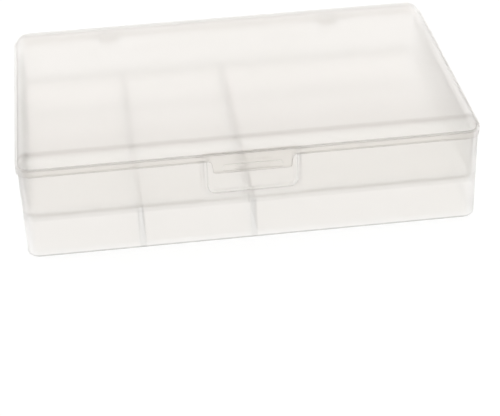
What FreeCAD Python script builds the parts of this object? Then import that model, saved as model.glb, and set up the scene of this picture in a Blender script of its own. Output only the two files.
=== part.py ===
"""A moulded two-layer storage box: a compartmented base, a lift-out tray and a clip-hinged lid.

Millimetres. X runs along the long side, the latch faces -Y, the hinges are at +Y and Z is up.
The origin is the middle of the base's underside.
"""

import FreeCAD, Part
import math
import os

Vector = FreeCAD.Vector

# Outline, measured over the lid's skirt
lid_length = 240.0
lid_depth = 160.0
lid_corner = 8.5  # plan radius of the skirt's corners

# Heights
parting_height = 48.6  # ledge on the base that the skirt comes down to
tray_ledge_height = 24.0  # step inside the base that carries the tray, level with the dividers
rim_height = 2.6  # rim of the base that stands up inside the skirt
skirt_height = 4.0
dome_rise = 5.2  # top panel above the skirt's upper edge

# Walls
base_wall = 1.8
base_floor = 1.8
divider_wall = 2.4  # at the divider's top
lid_wall = 1.6
skirt_wall = 1.3
tab_wall = 1.6
tray_wall = 1.4
tray_floor = 1.6

# Steps, radii and draft
draft_angle = 0.7  # of the base's and the tray's walls, in degrees
skirt_overhang = 0.9  # skirt stands this far outside the base's wall
skirt_bevel = 0.4
shoulder_step = 1.0  # dome starts this far inside the skirt
shoulder_radius = 7.0  # round between the dome's side and the top panel
foot_radius = 2.2  # round along the base's lower edge
rim_bevel = 0.35  # broken edges of the tray's rim
tray_ledge = 1.2  # width of the step that carries the tray
cell_round = 1.5  # round where a compartment's floor meets its walls
tray_round = 2.5  # round where the tray's floor meets its walls
tray_foot_bevel = 0.5
least_corner = 1.0  # no plan corner gets sharper than this
round_margin = 0.1  # a round stays this much smaller than the corner that it runs along

# Where the dividers stand, as shares of the way across from the left wall
divider_shares = (0.25, 0.5)

# Clearances
seat_gap = 0.2  # under the skirt, over the rim and under the tray
skirt_gap = 0.2  # skirt to rim, sideways
tray_gap = 0.4  # tray to the base's walls
latch_gap = 0.15  # between the latch bead and the catch that it passes
hinge_clearance = 0.1  # between pin and hook, on the radius
hook_gap = 0.5  # hook to the base's wall
ear_top_gap = 0.5  # ears to the skirt
ear_side_gap = 0.3  # ears to the hook

# Latch tab on the lid
tab_width = 42.4  # where it leaves the skirt
tab_drop = 7.1  # below the skirt's lower edge
tab_taper = 1.1  # each side comes in this much on the way down
tab_corner = 1.5
tab_root_round = 1.5  # hollow corners between skirt and tab
thumb_pad_length = 31.2
thumb_pad_height = 3.6
thumb_pad_proud = 0.7
thumb_pad_drop = 4.0  # its middle, below the skirt's lower edge
thumb_pad_bevel = 0.45
bead_length = 18.0
bead_radius = 0.65
bead_rise = 1.8  # its middle, above the tab's lower edge

# Recess in the base's front wall, that the tab hangs in
tab_side_gap = 2.0
finger_room = 2.0  # behind the tab
finger_drop = 11.8  # below the tab
recess_corner = 4.0
recess_round = 1.0
backing_corner = 2.0  # inside edges of the wall that closes the recess
notch_round = 1.2  # where the tray's front wall turns into its notch

# Clip hinges at the back
hinge_spacing = 130.0
pin_radius = 1.2
pin_root = 1.0  # length of the pin inside each ear
hook_wall = 1.1
hook_width = 10.0
hook_mouth_angle = 90.0  # opening that snaps over the pin, in degrees
hook_mouth_aim = -105.0  # middle of that opening, in degrees up from +Y
neck_height = 2.2  # top of the hook's neck, above the skirt's lower edge
neck_blend = 20.0  # where the neck's arch runs into the hook's round, in degrees up from +Y
neck_crotch = 110.0  # where the neck's underside meets that round
ear_wall = 1.0  # round the pin
ear_width = 2.4
ear_slope = 50.0  # lower edge of the ear, in degrees from level

# Sizes that follow from the ones above
half_x = lid_length / 2
half_y = lid_depth / 2
skirt_bottom = parting_height + seat_gap
skirt_top = skirt_bottom + skirt_height
lid_top = skirt_top + dome_rise
rim_top = parting_height + rim_height
rim_inset = skirt_wall + skirt_gap
rim_seat = rim_top + seat_gap  # step inside the lid that comes down over the rim
dome_inset = shoulder_step + lid_wall
tray_bottom = tray_ledge_height + seat_gap
tray_top = parting_height
tab_back = -half_y + tab_wall
tab_bottom = skirt_bottom - tab_drop
recess_face = tab_back + finger_room
recess_half = tab_width / 2 + tab_side_gap
recess_bottom = tab_bottom - finger_drop
backing_half = recess_half + base_wall
backing_face = recess_face + base_wall
bead_height = tab_bottom + bead_rise
catch_radius = finger_room - bead_radius - latch_gap
catch_height = bead_height + bead_radius + latch_gap + catch_radius
hook_bore = pin_radius + hinge_clearance
hook_outer = hook_bore + hook_wall
ear_radius = pin_radius + ear_wall
pivot_y = half_y - skirt_overhang + hook_gap + hook_outer
pivot_z = skirt_bottom - ear_top_gap - ear_radius
overcut = 5.0  # how far a cutting solid runs past what it cuts


def lean(height):
    """How far a drafted wall moves over a height."""
    return height * math.tan(math.radians(draft_angle))


def wall_inset(z):
    """Outer face of the base's wall at height z, measured in from the skirt's face."""
    return skirt_overhang + lean(parting_height - z)


def well_inset(z):
    """Inner face of the base's upper wall at height z."""
    return wall_inset(z) + base_wall


def tray_inset(z, wall=0.0):
    """Outer face of the tray's wall at height z, or its inner face."""
    return well_inset(z) + tray_gap + wall


def plan_corner(inset):
    """Corner radius of the lid's outline moved inwards, with the corners kept concentric."""
    return max(lid_corner - inset, least_corner)


def ring(x_low, x_high, y_low, y_high, radius, z):
    """A closed rectangle with round corners."""
    corners = [(x_high, y_high), (x_low, y_high), (x_low, y_low), (x_high, y_low)]
    inward = [(-1, -1), (1, -1), (1, 1), (-1, 1)]
    arcs = []
    for number, ((x, y), (dx, dy)) in enumerate(zip(corners, inward)):
        middle = Vector(x + dx * radius, y + dy * radius, z)
        start = math.pi / 2 * number
        turns = (start, start + math.pi / 4, start + math.pi / 2)
        arcs.append([middle + Vector(math.cos(a), math.sin(a), 0) * radius for a in turns])
    edges = []
    for number, points in enumerate(arcs):
        edges.append(Part.Arc(*points).toShape())
        edges.append(Part.makeLine(points[2], arcs[(number + 1) % 4][0]))
    return Part.Wire(edges)


def plan(inset, z):
    """The lid's outline moved inwards."""
    x, y = half_x - inset, half_y - inset
    return ring(-x, x, -y, y, plan_corner(inset), z)


def upright(outline, height):
    return Part.Face(outline).extrude(Vector(0, 0, height))


def tapered(lower, upper):
    return Part.makeLoft([lower, upper], True, True)


def rounded(shape, radius, edges):
    return shape.makeFillet(radius, edges)


def bevelled(shape, size, edges):
    return shape.makeChamfer(size, edges)


def level_edges(shape, z):
    """The edges that lie wholly at height z."""
    found = []
    for edge in shape.Edges:
        box = edge.BoundBox
        if abs(box.ZMin - z) < 1e-4 and abs(box.ZMax - z) < 1e-4:
            found.append(edge)
    return found


def face_edges(shape, y):
    """The edges that lie wholly at depth y."""
    found = []
    for edge in shape.Edges:
        box = edge.BoundBox
        if abs(box.YMin - y) < 1e-4 and abs(box.YMax - y) < 1e-4:
            found.append(edge)
    return found


def side_edges(shape, y, half_width):
    """The two straight upright edges at depth y, to the left and the right."""
    found = []
    for edge in shape.Edges:
        box = edge.BoundBox
        flush = box.XLength < 1e-4 and abs(abs(box.XMin) - half_width) < 1e-4
        if flush and box.YLength < 1e-4 and abs(box.YMin - y) < 1e-4:
            found.append(edge)
    return found


def front_shape(points, y_low, y_high):
    """An outline in X and Z pulled along Y. It is given as points and (through, end) arcs."""
    edges = []
    at = points[0]
    for step in points[1:] + [points[0]]:
        if isinstance(step[0], tuple):
            through, end = step
            ends = [Vector(p[0], y_low, p[1]) for p in (at, through, end)]
            edges.append(Part.Arc(*ends).toShape())
            at = end
        elif math.dist(at, step) > 1e-6:
            ends = [Vector(p[0], y_low, p[1]) for p in (at, step)]
            edges.append(Part.makeLine(*ends))
            at = step
    return Part.Face(Part.Wire(edges)).extrude(Vector(0, y_high - y_low, 0))


def side_shape(points, x_low, x_high):
    """A polygon in Y and Z pulled along X."""
    corners = [Vector(x_low, y, z) for y, z in points]
    return Part.Face(Part.makePolygon(corners + corners[:1])).extrude(Vector(x_high - x_low, 0, 0))


def bar(x_low, x_high, y, z, radius):
    return Part.makeCylinder(radius, x_high - x_low, Vector(x_low, y, z), Vector(1, 0, 0))


def round_off(corner, before, after, radius):
    """A tangent arc in place of a corner, for front_shape: its start, then (through, end)."""
    corner, before, after = (Vector(p[0], 0, p[1]) for p in (corner, before, after))
    to_before = (before - corner).normalize()
    to_after = (after - corner).normalize()
    half_angle = to_before.getAngle(to_after) / 2
    reach = radius / math.tan(half_angle)
    middle = corner + (to_before + to_after).normalize() * (radius / math.sin(half_angle))
    start = corner + to_before * reach
    through = middle + (corner - middle).normalize() * radius
    end = corner + to_after * reach
    return [(start.x, start.z), ((through.x, through.z), (end.x, end.z))]


def bucket(half_width, bottom, top, corner, y_low, y_high):
    """An upright panel with round lower corners and a square top."""
    left, right = -half_width, half_width
    points = [(left, top), (right, top)]
    points += round_off((right, bottom), (right, top), (left, bottom), corner)
    points += round_off((left, bottom), (right, bottom), (left, top), corner)
    return front_shape(points, y_low, y_high)


def base_hollows():
    """The well that takes the tray, and the narrower drafted space for the compartments."""
    over = rim_top + overcut
    well = tapered(
        plan(well_inset(tray_ledge_height), tray_ledge_height), plan(well_inset(over), over)
    )
    top_inset = well_inset(tray_ledge_height) + tray_ledge
    floor_inset = top_inset + lean(tray_ledge_height - base_floor)
    cells = tapered(plan(floor_inset, base_floor), plan(top_inset, tray_ledge_height))
    floor_round = min(cell_round, plan_corner(floor_inset) - round_margin)
    cells = rounded(cells, floor_round, level_edges(cells, base_floor))
    return [well, cells, upright(plan(top_inset, tray_ledge_height), overcut)]


def divider(x_middle):
    """A tapered wall across the base, with a round along each side of its foot."""
    top = divider_wall / 2
    foot = top + lean(tray_ledge_height - base_floor)
    far = foot + 2 * cell_round
    points = [(x_middle - top, tray_ledge_height), (x_middle + top, tray_ledge_height)]
    points += round_off(
        (x_middle + foot, base_floor),
        (x_middle + top, tray_ledge_height),
        (x_middle + far, base_floor),
        cell_round,
    )
    right_end = points[-1][1][0]
    points += [(right_end, base_floor / 2), (2 * x_middle - right_end, base_floor / 2)]
    points += round_off(
        (x_middle - foot, base_floor),
        (x_middle - far, base_floor),
        (x_middle - top, tray_ledge_height),
        cell_round,
    )
    end = half_y - well_inset(tray_ledge_height) - tray_ledge / 2
    return front_shape(points, -end, end)


def recess_backing():
    """The wall that carries the front of the base round the recess, at full thickness."""
    front = -half_y + wall_inset(recess_bottom) + base_wall / 2
    low = recess_bottom - base_wall
    corner = recess_corner + base_wall
    backing = bucket(backing_half, low, rim_top, corner, front, backing_face)
    return rounded(backing, backing_corner, side_edges(backing, backing_face, backing_half))


def recess_hollow():
    """The hollow that the tab hangs in, open at the front and through the rim."""
    top = rim_top + overcut
    front = -half_y - overcut
    hollow = bucket(recess_half, recess_bottom, top, recess_corner, front, recess_face)
    edges = [e for e in face_edges(hollow, recess_face) if e.BoundBox.ZMin < rim_top]
    return rounded(hollow, recess_round, edges)


def hinge_ear(x_low):
    """An ear with a round end about the pin and a sloping lower edge back to the wall."""
    x_high = x_low + ear_width
    inside = half_y - wall_inset(0.0)
    slope = math.radians(ear_slope)
    foot_y = pivot_y + ear_radius * math.cos(slope)
    foot_z = pivot_z - ear_radius * math.sin(slope)
    wall_z = foot_z - (foot_y - inside) / math.tan(slope)
    top = pivot_z + ear_radius
    web = side_shape([(inside, top), (pivot_y, top), (foot_y, foot_z), (inside, wall_z)], x_low, x_high)
    return web.fuse(bar(x_low, x_high, pivot_y, pivot_z, ear_radius))


def hinge_mount(x_middle):
    """Two ears and the pin between them."""
    reach = hook_width / 2 + ear_side_gap
    left = hinge_ear(x_middle - reach - ear_width)
    right = hinge_ear(x_middle + reach)
    end = reach + pin_root
    pin = bar(x_middle - end, x_middle + end, pivot_y, pivot_z, pin_radius)
    return left.fuse([right, pin])


def make_base():
    body = tapered(plan(wall_inset(0.0), 0.0), plan(wall_inset(parting_height), parting_height))
    body = rounded(body, foot_radius, level_edges(body, 0.0))
    body = body.fuse(upright(plan(rim_inset, parting_height), rim_height))
    body = body.cut(base_hollows())
    well_half = half_x - well_inset(tray_ledge_height)
    body = body.fuse([divider((2 * share - 1) * well_half) for share in divider_shares])
    body = body.fuse(recess_backing()).cut(recess_hollow())
    catch_half = bead_length / 2
    body = body.fuse(bar(-catch_half, catch_half, recess_face, catch_height, catch_radius))
    for side in (-1, 1):
        body = body.fuse(hinge_mount(side * hinge_spacing / 2))
    return body.removeSplitter()


def latch_tab():
    """The tab with its hollow root corners, thumb pad and bead, run up into the skirt."""
    root = tab_width / 2
    tip = root - tab_taper
    far = root + 2 * tab_root_round
    points = []
    points += round_off((root, skirt_bottom), (far, skirt_bottom), (tip, tab_bottom), tab_root_round)
    points += round_off((tip, tab_bottom), (root, skirt_bottom), (-tip, tab_bottom), tab_corner)
    points += round_off((-tip, tab_bottom), (tip, tab_bottom), (-root, skirt_bottom), tab_corner)
    points += round_off((-root, skirt_bottom), (-tip, tab_bottom), (-far, skirt_bottom), tab_root_round)
    root_half = points[0][0]
    points = [(root_half, rim_seat)] + points + [(-root_half, rim_seat)]
    tab = front_shape(points, -half_y, tab_back)

    middle = skirt_bottom - thumb_pad_drop
    end = thumb_pad_height / 2
    straight = thumb_pad_length / 2 - end
    pad_points = [
        (-straight, middle + end),
        (straight, middle + end),
        ((straight + end, middle), (straight, middle - end)),
        (-straight, middle - end),
        ((-straight - end, middle), (-straight, middle + end)),
    ]
    pad_face = -half_y - thumb_pad_proud
    pad = front_shape(pad_points, pad_face, -half_y + tab_wall / 2)
    pad = bevelled(pad, thumb_pad_bevel, face_edges(pad, pad_face))
    bead = bar(-bead_length / 2, bead_length / 2, tab_back, bead_height, bead_radius)
    return tab.fuse([pad, bead])


def hinge_neck(x_low):
    """The arched neck that carries a hook. Its arch meets the hook's round without a corner."""
    blend, crotch = math.radians(neck_blend), math.radians(neck_crotch)
    pivot = Vector(x_low, pivot_y, pivot_z)
    outward = Vector(0, math.cos(blend), math.sin(blend))
    start = Vector(x_low, half_y, skirt_bottom + neck_height)
    offset = start - pivot
    along = offset.dot(outward)
    radius = (offset.dot(offset) - 2 * hook_outer * along + hook_outer**2) / (2 * (hook_outer - along))
    middle = pivot + outward * (hook_outer - radius)
    end = pivot + outward * hook_outer
    crown = middle + ((start - middle) + (end - middle)).normalize() * radius
    root_y = half_y - skirt_wall / 2
    corners = [
        end,
        pivot,
        pivot + Vector(0, math.cos(crotch), math.sin(crotch)) * hook_outer,
        Vector(x_low, half_y, skirt_bottom),
        Vector(x_low, root_y, skirt_bottom),
        Vector(x_low, root_y, start.z),
        start,
    ]
    lines = [Part.makeLine(a, b) for a, b in zip(corners, corners[1:])]
    outline = Part.Wire([Part.Arc(start, crown, end).toShape()] + lines)
    return Part.Face(outline).extrude(Vector(hook_width, 0, 0))


def hinge_hook(x_middle):
    """A C-shaped hook round the pin, hung from the back of the skirt."""
    x_low, x_high = x_middle - hook_width / 2, x_middle + hook_width / 2
    hook = hinge_neck(x_low).fuse(bar(x_low, x_high, pivot_y, pivot_z, hook_outer))
    cut_low, cut_high = x_low - overcut, x_high + overcut
    bore = bar(cut_low, cut_high, pivot_y, pivot_z, hook_bore)
    aim, spread = math.radians(hook_mouth_aim), math.radians(hook_mouth_angle / 2)
    far = 2 * hook_outer
    wedge = [(pivot_y, pivot_z)]
    for turn in (aim - spread, aim, aim + spread):
        wedge.append((pivot_y + far * math.cos(turn), pivot_z + far * math.sin(turn)))
    return hook.cut([bore, side_shape(wedge, cut_low, cut_high)])


def make_lid():
    skirt = upright(plan(0.0, skirt_bottom), skirt_height)
    skirt = bevelled(skirt, skirt_bevel, level_edges(skirt, skirt_top))
    dome = upright(plan(shoulder_step, skirt_bottom), lid_top - skirt_bottom)
    dome_round = min(shoulder_radius, plan_corner(shoulder_step) - round_margin)
    dome = rounded(dome, dome_round, level_edges(dome, lid_top))
    under = skirt_bottom - overcut
    hollow_top = lid_top - lid_wall
    hollow = upright(plan(dome_inset, under), hollow_top - under)
    hollow = rounded(hollow, dome_round - lid_wall, level_edges(hollow, hollow_top))
    lap = upright(plan(skirt_wall, under), rim_seat - under)
    lid = skirt.fuse(dome).cut([hollow, lap]).fuse(latch_tab())
    for side in (-1, 1):
        lid = lid.fuse(hinge_hook(side * hinge_spacing / 2))
    return lid.removeSplitter()


def tray_notch(wall, z_low):
    """What the tray's front steps back round, so that it clears the recess in the base."""
    half = backing_half + tray_gap + wall
    corner = backing_corner + tray_gap + wall
    face = backing_face + tray_gap + wall
    outline = ring(-half, half, -half_y - overcut - corner, face, corner, z_low)
    return upright(outline, tray_top + 3 * overcut - z_low)


def notch_edges(shape):
    """The two upright edges where the tray's front wall turns into its notch."""
    half = backing_half + tray_gap
    front = -half_y + tray_inset(tray_bottom)
    found = []
    for edge in shape.Edges:
        box = edge.BoundBox
        flush = box.XLength < 1e-4 and abs(abs(box.XMin) - half) < 1e-4
        if flush and box.YMax < front + 1e-4 and box.ZLength > tray_floor:
            found.append(edge)
    return found


def make_tray():
    body = tapered(plan(tray_inset(tray_bottom), tray_bottom), plan(tray_inset(tray_top), tray_top))
    body = body.cut(tray_notch(0.0, tray_bottom - overcut))
    body = rounded(body, notch_round, notch_edges(body))
    body = bevelled(body, tray_foot_bevel, level_edges(body, tray_bottom))
    floor = tray_bottom + tray_floor
    over = tray_top + overcut
    floor_inset = tray_inset(floor, tray_wall)
    inner = tapered(plan(floor_inset, floor), plan(tray_inset(over, tray_wall), over))
    inner = inner.cut(tray_notch(tray_wall, floor - overcut))
    floor_round = min(tray_round, plan_corner(floor_inset) - round_margin)
    inner = rounded(inner, floor_round, level_edges(inner, floor))
    tray = body.cut(inner)
    return bevelled(tray, rim_bevel, level_edges(tray, tray_top))


def main():
    os.makedirs("parts", exist_ok=True)
    nodes = {"base_box": make_base(), "lid": make_lid(), "lift_out_tray": make_tray()}
    for name, shape in nodes.items():
        solids = shape.Solids
        if len(solids) != 1 or not shape.isValid():
            raise RuntimeError(f"{name}: {len(solids)} solids, valid {shape.isValid()}")
        solids[0].exportStep(f"parts/{name}.step")
        box = solids[0].optimalBoundingBox()
        print(
            f"{name}: {solids[0].Volume / 1000:.1f} cm3,"
            f" X {box.XMin:.2f} to {box.XMax:.2f}, Y {box.YMin:.2f} to {box.YMax:.2f},"
            f" Z {box.ZMin:.2f} to {box.ZMax:.2f}"
        )


main()
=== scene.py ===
import bpy
from mathutils import Matrix, Vector

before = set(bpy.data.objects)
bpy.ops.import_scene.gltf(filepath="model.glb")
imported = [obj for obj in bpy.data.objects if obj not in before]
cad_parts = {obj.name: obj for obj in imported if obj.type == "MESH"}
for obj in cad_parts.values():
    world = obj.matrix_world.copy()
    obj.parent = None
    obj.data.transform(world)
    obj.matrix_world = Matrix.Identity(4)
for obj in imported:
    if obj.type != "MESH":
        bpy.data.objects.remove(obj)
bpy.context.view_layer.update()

# The photograph's camera, in millimetres of the box's own frame
CAMERA_PLACE = (-78.591, -795.277, 455.150)
CAMERA_RIGHT = (0.99158549, -0.12540664, -0.0321154)
CAMERA_FORWARD = (0.09078691, 0.85051681, -0.51805298)
CAMERA_FOCAL_PIXELS = 1622.94
PHOTO_WIDTH = 500
SENSOR_MM = 36.0
CLIP_NEAR = 0.01
CLIP_FAR = 50.0

# All lengths from here on are in metres, and each tint is what is left of white light

# Studio. The sky brightens towards the back, while a direction's Y part goes from minus to plus the turn
SKY_FRONT = 1.0
SKY_BACK = 1.25
SKY_TURN = 0.6
FLOOR_COLOUR = (0.12, 0.12, 0.119, 1)
FLOOR_LIGHT = (1.0, 1.0, 0.995, 1)
FLOOR_GLOW = 0.885
FLOOR_ROUGHNESS = 0.9
FLOOR_FIBRES = 300.0  # per metre
FLOOR_FIBRE_HEIGHT = 0.0001
FLOOR_FIBRE_STRENGTH = 0.3
FLOOR_HALF = 6.0
FLOOR_DROP = 0.0002  # keeps the box's underside clear of the floor's face
LIGHT_BOUNCES = 24  # light crosses up to a dozen hazy faces on its way

# Milky plastic: its haze bends light far less than clear plastic would
HAZE_IOR = 1.06
HAZE_ROUGHNESS = 0.32
HAZE_SWING = 0.03  # how far the roughness wanders over a face
HAZE_RANGE = (0.35, 0.7)  # of the clouds' noise, between the least and the most rough
SEE_THROUGH = 0.97
CLEAR = (1, 1, 1, 1)

# Clouds, and the drawn-out flow marks that add to them; noise scales are per metre
CLOUDS = dict(per_metre=14.0, detail=3.0, rough=0.55, distortion=0.4)
FLOW = dict(per_metre=9.0, detail=4.0, rough=0.6, distortion=1.2)
FLOW_STRETCH = (1.0, 5.0, 2.0)
FLOW_SHARE = 0.6
CLOUD_RANGE = (0.6, 1.05)
CLOUD_TINT = (0.992, 0.992, 0.99, 1)  # of the deepest cloud, on top of the plastic's own

# Relief: the swell of a moulded wall and the satin grain on it
SWELL = dict(per_metre=55.0, detail=2.0, rough=0.45)
SWELL_HEIGHT = 0.0002
SWELL_STRENGTH = 0.3
GRAIN = dict(per_metre=1500.0, detail=2.0, rough=0.6)
GRAIN_HEIGHT = 0.00005
GRAIN_STRENGTH = 0.2

# Per piece: the tints of front and back walls, of end walls and of level faces, which are the plastic's
# own colour with painted shade that differs by which way a face looks; what the plastic takes per metre,
# as colour and density; the painted shade of its bends; how far the painted shade at a sharp edge reaches
# and its tint;
# and the share of that painted shade that stays where the piece is calm
PLASTICS = {
    "lid": dict(
        wall=(0.966, 0.957, 0.942, 1),
        end=(0.99, 0.981, 0.97, 1),
        level=(0.966, 0.951, 0.939, 1),
        body=(0.4, 0.3, 0.15, 1),
        density=1.2,
        bend_shade=(0.77, 0.76, 0.75, 1),
        edge=0.0005,
        edge_shade=(0.14, 0.13, 0.12, 1),
        calm=0.3,
    ),
    "base_box": dict(
        wall=(0.955, 0.943, 0.929, 1),
        end=(0.978, 0.969, 0.96, 1),
        level=(0.962, 0.95, 0.936, 1),
        body=(0.4, 0.36, 0.3, 1),
        density=0.8,
        bend_shade=(0.975, 0.975, 0.97, 1),
        edge=0.0014,
        edge_shade=(0.58, 0.575, 0.57, 1),
        calm=0.15,
    ),
    "lift_out_tray": dict(
        wall=(1.0, 1.0, 0.997, 1),
        end=(0.999, 0.997, 0.994, 1),
        level=(0.995, 0.99, 0.984, 1),
        body=(0.4, 0.36, 0.3, 1),
        density=0.8,
        bend_shade=(0.94, 0.94, 0.935, 1),
        edge=0.001,
        edge_shade=(0.88, 0.87, 0.86, 1),
        calm=1.0,
    ),
}

# Which way a face looks, by how square it is to an axis: 0 is along it and 1 square to it
END_WALLS = (0.15, 0.7)
LEVEL_FACES = (0.9, 1.0)
TOP_PANEL = (0.98, 1.0)
UPRIGHT_WALLS = (0.8, 0.98)
BENDS = (0.08, 0.55, 0.95)

# An edge is sharp where the rounded normal leaves the true one: the product of the two on a flat face, and
# on a fully sharp edge
EDGE_FLAT = 0.99
EDGE_SHARP = 0.85
EDGE_SAMPLES = 4

# The lid's shoulder carries a band of painted shade: darkest along a line this far out from a smaller
# rectangle, and only where the way out from that one leads to the front or the back
SHOULDER_FROM = (0.111, 0.0615)
SHOULDER_OUT = 0.010
SHOULDER_REACH = 0.0035
SHOULDER_TURN = (0.3, 0.9)
SHOULDER_LEAST = 0.0001  # a way out that is shorter counts as this long

# The top panel gets a little painted shade towards the front: where that starts, where it is greatest, and
# its share of the bend's painted shade
FRONT_SHADE = (-0.035, -0.0715, 0.22)

# Where the painted shade at edges shows less than the rest: on the lid, the upper line of the tab's grip,
# the hooks and the ends
GRIP_HALF = 0.0162
GRIP_HEIGHT = 0.04515
GRIP_REACH = 0.0018
HINGE_FROM = 0.0803  # ears and hooks stand behind here, and are clear besides
HINGE_SOFT = 0.0006
LID_ENDS = 0.114  # the lid's ends stand further out than this
LID_ENDS_SOFT = 0.004
LID_ENDS_CALM = 0.9

# On the base, all but the recess in its front wall, with that one's half length, back and bottom
RECESS_HALF = 0.028
RECESS_BACK = -0.07
RECESS_LOW = 0.0275
SOFT = 0.001  # the length over which such a place fades

# Walls across the base nearer to the middle than this are dividers, and clear
INNER_HALF = 0.1
INNER_SOFT = 0.002

# Painted shade on the base's outer walls where something thick stands behind them, and a painted contact
# shadow at the foot
DIVIDERS = (-0.0585, 0.0)
DIVIDER_TOP = 0.024
DIVIDER_REACH = 0.0018
RIB_SHADE = (0.85, 0.85, 0.845, 1)
LEDGE_HEIGHT = 0.0245
LEDGE_REACH = 0.0025
LEDGE_SHADE = (0.89, 0.89, 0.885, 1)
FOOT_REACH = 0.0018
FOOT_SHADOW = (0.45, 0.45, 0.44, 1)
FOOT_AT_ENDS = 0.4
STRIPE_CORE = 0.6  # share of a stripe's reach where it starts to fade
STRIPE_RIM = 1.2  # share of the reach where it is gone


class Shader:
    """A short way to write a node tree: each method adds its nodes and returns their output."""

    def __init__(self, name):
        self.material = bpy.data.materials.new(name)
        self.material.use_nodes = True
        self.tree = self.material.node_tree
        self.tree.nodes.clear()
        self.output = self.add("OutputMaterial")
        coordinates = self.add("TexCoord")
        self.place = coordinates.outputs["Object"]
        self.slope = coordinates.outputs["Normal"]

    def add(self, kind):
        return self.tree.nodes.new("ShaderNode" + kind)

    def set(self, socket, value):
        if isinstance(value, bpy.types.NodeSocket):
            self.tree.links.new(value, socket)
        else:
            socket.default_value = value

    def stretched(self, scale):
        """The object's coordinates, stretched by a factor along each axis."""
        node = self.add("Mapping")
        self.set(node.inputs["Vector"], self.place)
        self.set(node.inputs["Scale"], scale)
        return node.outputs["Vector"]

    def noise(self, per_metre, detail=2.0, rough=0.5, place=None, distortion=0.0):
        node = self.add("TexNoise")
        self.set(node.inputs["Vector"], place or self.place)
        self.set(node.inputs["Scale"], per_metre)
        self.set(node.inputs["Detail"], detail)
        self.set(node.inputs["Roughness"], rough)
        self.set(node.inputs["Distortion"], distortion)
        return node.outputs["Fac"]

    def ranged(self, value, low, high, to_low, to_high, smooth=False):
        node = self.add("MapRange")
        node.interpolation_type = "SMOOTHSTEP" if smooth else "LINEAR"
        for name, number in (
            ("Value", value),
            ("From Min", low),
            ("From Max", high),
            ("To Min", to_low),
            ("To Max", to_high),
        ):
            self.set(node.inputs[name], number)
        return node.outputs["Result"]

    def math(self, operation, a, b=0.0):
        node = self.add("Math")
        node.operation = operation
        self.set(node.inputs[0], a)
        self.set(node.inputs[1], b)
        return node.outputs["Value"]

    def times(self, a, b):
        return self.math("MULTIPLY", a, b)

    def most(self, a, b):
        return self.math("MAXIMUM", a, b)

    def blend(self, factor, a, b, how="MIX"):
        node = self.add("Mix")
        node.data_type = "RGBA"
        node.blend_type = how
        self.set(node.inputs["Factor"], factor)
        self.set(node.inputs["A"], a)
        self.set(node.inputs["B"], b)
        return node.outputs["Result"]

    def tinted(self, factor, colour, tint):
        return self.blend(factor, colour, tint, "MULTIPLY")

    def bump(self, height, distance, strength=1.0, normal=None):
        node = self.add("Bump")
        self.set(node.inputs["Strength"], strength)
        self.set(node.inputs["Distance"], distance)
        self.set(node.inputs["Height"], height)
        if normal is not None:
            self.set(node.inputs["Normal"], normal)
        return node.outputs["Normal"]

    def sharp_edges(self, radius):
        """1 on a sharp edge, inside or outside, down to 0 at the radius from it."""
        rounded = self.add("Bevel")
        rounded.samples = EDGE_SAMPLES
        self.set(rounded.inputs["Radius"], radius)
        agree = self.add("VectorMath")
        agree.operation = "DOT_PRODUCT"
        self.set(agree.inputs[0], rounded.outputs["Normal"])
        self.set(agree.inputs[1], self.add("NewGeometry").outputs["Normal"])
        agreement = self.math("ABSOLUTE", agree.outputs["Value"])
        return self.ranged(agreement, EDGE_FLAT, EDGE_SHARP, 0.0, 1.0, True)

    def facing(self, axis):
        """1 on a face square to the axis, either way round, 0 on one along it."""
        parts = self.add("SeparateXYZ")
        self.set(parts.inputs["Vector"], self.slope)
        return self.math("ABSOLUTE", parts.outputs[axis])

    def along(self, axis):
        """How far along an axis of the object."""
        parts = self.add("SeparateXYZ")
        self.set(parts.inputs["Vector"], self.place)
        return parts.outputs[axis]

    def sideways(self):
        """How far from the object's middle, left or right."""
        return self.math("ABSOLUTE", self.along("X"))

    def beyond(self, value, start, soft=SOFT):
        """1 past the start, 0 before it."""
        return self.ranged(value, start, start + soft, 0.0, 1.0)

    def before(self, value, end, soft=SOFT):
        """1 up to the end, 0 past it."""
        return self.ranged(value, end, end + soft, 1.0, 0.0)

    def stripe(self, axis, middle, reach):
        """1 in the middle of a stripe across an axis, down to 0 near its reach."""
        away = self.math("ABSOLUTE", self.math("SUBTRACT", self.along(axis), middle))
        return self.ranged(away, STRIPE_CORE * reach, STRIPE_RIM * reach, 1.0, 0.0, True)

    def between(self, value, low, peak, high):
        """1 at the peak, down to 0 at the low and the high end."""
        rise = self.ranged(value, low, peak, 0.0, 1.0, True)
        fall = self.ranged(value, peak, high, 1.0, 0.0, True)
        return self.times(rise, fall)

    def principled(self, **values):
        node = self.add("BsdfPrincipled")
        for name, value in values.items():
            self.set(node.inputs[name.replace("_", " ")], value)
        self.set(self.output.inputs["Surface"], node.outputs["BSDF"])
        return node


def shoulder(s, lean):
    """Mask of painted shade: 1 along the lid's front and back shoulder, none at its ends, and the painted
    shade that grows towards the front of the top panel.
    """
    out = [
        s.most(s.math("SUBTRACT", s.math("ABSOLUTE", s.along(axis)), start), 0.0)
        for axis, start in zip("XY", SHOULDER_FROM)
    ]
    far = s.math("SQRT", s.math("ADD", s.times(out[0], out[0]), s.times(out[1], out[1])))
    line = s.between(far, SHOULDER_OUT - SHOULDER_REACH, SHOULDER_OUT, SHOULDER_OUT + SHOULDER_REACH)
    turn = s.math("DIVIDE", out[1], s.most(far, SHOULDER_LEAST))
    line = s.times(line, s.ranged(turn, *SHOULDER_TURN, 0.0, 1.0, True))
    start, end, share = FRONT_SHADE
    fall = s.ranged(s.along("Y"), start, end, 0.0, share, True)
    return s.most(line, s.times(fall, s.ranged(lean, *TOP_PANEL, 0.0, 1.0)))


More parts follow.
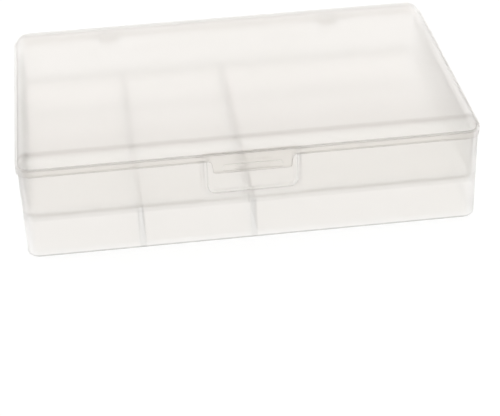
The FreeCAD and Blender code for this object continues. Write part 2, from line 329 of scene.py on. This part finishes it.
def calm_places(s, name):
    """1 where the painted shade at the piece's sharp edges shows less than elsewhere."""
    if name == "lid":
        grip = s.times(s.before(s.sideways(), GRIP_HALF), s.stripe("Z", GRIP_HEIGHT, GRIP_REACH))
        hooks = s.beyond(s.along("Y"), HINGE_FROM, HINGE_SOFT)
        ends = s.ranged(s.sideways(), LID_ENDS, LID_ENDS + LID_ENDS_SOFT, 0.0, LID_ENDS_CALM)
        return s.most(ends, s.most(grip, hooks))
    if name == "base_box":
        aside = s.beyond(s.sideways(), RECESS_HALF)
        behind = s.beyond(s.along("Y"), RECESS_BACK)
        below = s.before(s.along("Z"), RECESS_LOW)
        return s.most(aside, s.most(behind, below))
    return 0.0


def paint_shade_behind_walls(s, colour, lean, endways, inner):
    """Paints shade on the base's outer walls where the dividers or the ledge stand behind them, and a
    painted contact shadow along the foot where the floor stands behind them.
    """
    outer = s.times(s.ranged(lean, *UPRIGHT_WALLS, 1.0, 0.0), s.math("SUBTRACT", 1.0, inner))
    left, right = (s.stripe("X", x, DIVIDER_REACH) for x in DIVIDERS)
    below_top = s.ranged(s.along("Z"), DIVIDER_TOP - SOFT, DIVIDER_TOP + SOFT, 1.0, 0.0)
    ribs = s.times(s.times(s.most(left, right), below_top), s.math("SUBTRACT", 1.0, endways))
    ledge = s.stripe("Z", LEDGE_HEIGHT, LEDGE_REACH)
    foot = s.times(s.stripe("Z", 0.0, FOOT_REACH), s.ranged(endways, 0.0, 1.0, 1.0, FOOT_AT_ENDS))
    for place, tint in ((ribs, RIB_SHADE), (ledge, LEDGE_SHADE), (foot, FOOT_SHADOW)):
        colour = s.tinted(s.times(place, outer), colour, tint)
    return colour


def plastic_colour(s, name, look, clouded):
    """The plastic's colour, deeper in clouds, with painted shade: a tint by which way a face looks, darker
    where thick parts stand behind, in bends and at sharp edges.
    """
    lean = s.facing("Z")
    endways = s.ranged(s.facing("X"), *END_WALLS, 0.0, 1.0, True)
    inner = s.times(s.before(s.sideways(), INNER_HALF, INNER_SOFT), endways)
    # Painted shade by which way a face looks: walls, end walls and level faces each get their own tint of
    # the plastic's colour, and dividers stay clear
    colour = s.blend(inner, s.blend(endways, look["wall"], look["end"]), CLEAR)
    colour = s.blend(s.ranged(lean, *LEVEL_FACES, 0.0, 1.0), colour, look["level"])
    colour = s.blend(s.beyond(s.along("Y"), HINGE_FROM, HINGE_SOFT), colour, CLEAR)
    colour = s.tinted(clouded, colour, CLOUD_TINT)
    # On the base, painted shade where dividers and the ledge stand behind the outer walls, and a painted
    # contact shadow at the foot
    if name == "base_box":
        colour = paint_shade_behind_walls(s, colour, lean, endways, inner)
    # Painted shade in bends: along the lid's shoulder and top front, and where the base's and tray's faces
    # turn
    bend = shoulder(s, lean) if name == "lid" else s.between(lean, *BENDS)
    colour = s.tinted(bend, colour, look["bend_shade"])
    shown = s.ranged(calm_places(s, name), 0.0, 1.0, 1.0, look["calm"])
    # Painted shade along sharp edges, weaker where the piece is calm
    return s.tinted(s.times(s.sharp_edges(look["edge"]), shown), colour, look["edge_shade"])


def frosted(name, look):
    """Milky moulded plastic with clouds, a wandering roughness, a swell and a satin grain."""
    s = Shader(name + "_frosted")
    cloud = s.noise(**CLOUDS)
    flow = s.noise(place=s.stretched(FLOW_STRETCH), **FLOW)
    clouded = s.ranged(s.math("ADD", cloud, s.times(flow, FLOW_SHARE)), *CLOUD_RANGE, 0.0, 1.0, True)
    swell = s.bump(s.noise(**SWELL), SWELL_HEIGHT, SWELL_STRENGTH)
    s.principled(
        Base_Color=plastic_colour(s, name, look, clouded),
        Roughness=s.ranged(cloud, *HAZE_RANGE, HAZE_ROUGHNESS - HAZE_SWING, HAZE_ROUGHNESS + HAZE_SWING),
        Normal=s.bump(s.noise(**GRAIN), GRAIN_HEIGHT, GRAIN_STRENGTH, swell),
        IOR=HAZE_IOR,
        Transmission_Weight=SEE_THROUGH,
    )
    inside = s.add("VolumeAbsorption")
    inside.inputs["Color"].default_value = look["body"]
    inside.inputs["Density"].default_value = look["density"]
    s.set(s.output.inputs["Volume"], inside.outputs["Volume"])
    return s.material


def make_floor():
    """A plain pale sheet that glows a little, as on a light table."""
    mesh = bpy.data.meshes.new("floor")
    ways = ((-1, -1), (1, -1), (1, 1), (-1, 1))
    mesh.from_pydata([(x * FLOOR_HALF, y * FLOOR_HALF, -FLOOR_DROP) for x, y in ways], [], [(0, 1, 2, 3)])
    floor = bpy.data.objects.new("floor", mesh)
    bpy.context.scene.collection.objects.link(floor)
    s = Shader("floor_paper")
    s.principled(
        Base_Color=FLOOR_COLOUR,
        Roughness=FLOOR_ROUGHNESS,
        Normal=s.bump(s.noise(FLOOR_FIBRES), FLOOR_FIBRE_HEIGHT, FLOOR_FIBRE_STRENGTH),
        Emission_Color=FLOOR_LIGHT,
        Emission_Strength=FLOOR_GLOW,
    )
    mesh.materials.append(s.material)


def make_world():
    """A white tent, a little brighter behind the box than in front of it."""
    world = bpy.data.worlds.new("studio")
    world.use_nodes = True
    tree = world.node_tree
    tree.nodes.clear()
    way = tree.nodes.new("ShaderNodeTexCoord")
    parts = tree.nodes.new("ShaderNodeSeparateXYZ")
    lift = tree.nodes.new("ShaderNodeMapRange")
    back = tree.nodes.new("ShaderNodeBackground")
    out = tree.nodes.new("ShaderNodeOutputWorld")
    lift.interpolation_type = "SMOOTHSTEP"
    for name, number in (
        ("From Min", -SKY_TURN),
        ("From Max", SKY_TURN),
        ("To Min", SKY_FRONT),
        ("To Max", SKY_BACK),
    ):
        lift.inputs[name].default_value = number
    tree.links.new(way.outputs["Generated"], parts.inputs["Vector"])
    tree.links.new(parts.outputs["Y"], lift.inputs["Value"])
    back.inputs["Color"].default_value = (1.0, 1.0, 1.0, 1.0)
    tree.links.new(lift.outputs["Result"], back.inputs["Strength"])
    tree.links.new(back.outputs["Background"], out.inputs["Surface"])
    bpy.context.scene.world = world


def make_camera():
    """The photograph's own view of the box."""
    data = bpy.data.cameras.new("camera")
    data.sensor_fit = "HORIZONTAL"
    data.sensor_width = SENSOR_MM
    data.lens = CAMERA_FOCAL_PIXELS / PHOTO_WIDTH * SENSOR_MM
    data.clip_start = CLIP_NEAR
    data.clip_end = CLIP_FAR
    back = -Vector(CAMERA_FORWARD).normalized()
    up = back.cross(Vector(CAMERA_RIGHT)).normalized()
    right = up.cross(back)
    turn = Matrix((right, up, back)).transposed().to_4x4()
    camera = bpy.data.objects.new("camera", data)
    camera.matrix_world = Matrix.Translation(Vector(CAMERA_PLACE) / 1000) @ turn
    bpy.context.scene.collection.objects.link(camera)
    bpy.context.scene.camera = camera


def set_light_paths():
    scene = bpy.context.scene
    scene.view_settings.view_transform = "Standard"
    scene.cycles.max_bounces = LIGHT_BOUNCES
    scene.cycles.transmission_bounces = LIGHT_BOUNCES
    scene.cycles.transparent_max_bounces = LIGHT_BOUNCES


for name, look in PLASTICS.items():
    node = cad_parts[name]
    node.data.materials.clear()
    node.data.materials.append(frosted(name, look))

make_floor()
make_world()
make_camera()
set_light_paths()
